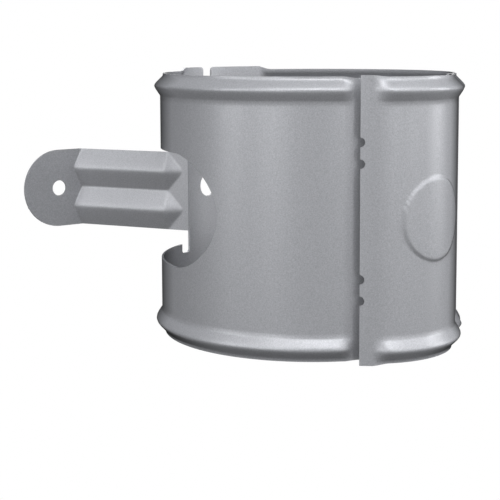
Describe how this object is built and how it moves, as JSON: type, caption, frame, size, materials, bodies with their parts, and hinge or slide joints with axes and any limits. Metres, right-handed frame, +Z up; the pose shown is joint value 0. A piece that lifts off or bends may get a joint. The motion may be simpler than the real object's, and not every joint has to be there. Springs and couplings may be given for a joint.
{
  "type": "downpipe clip",
  "caption": "Sheet-metal sleeve clip for a round downpipe, beaded at both rims, with ribbed wall legs and a lapped front cover.",
  "frame": {"origin": "on the pipe's axis, at half the sleeve's height", "axes": "+Z up along the pipe, +Y towards the wall, -Y towards the viewer in front of the wall, +X to the viewer's right"},
  "size_m": [0.1302, 0.1521, 0.0928],
  "materials": {
    "zinc_sheet": "matt grained zinc grey"
  },
  "bodies": {
    "root": {"sleeve": "zinc_sheet", "front_cover": "zinc_sheet"}
  },
  "joints": []
}
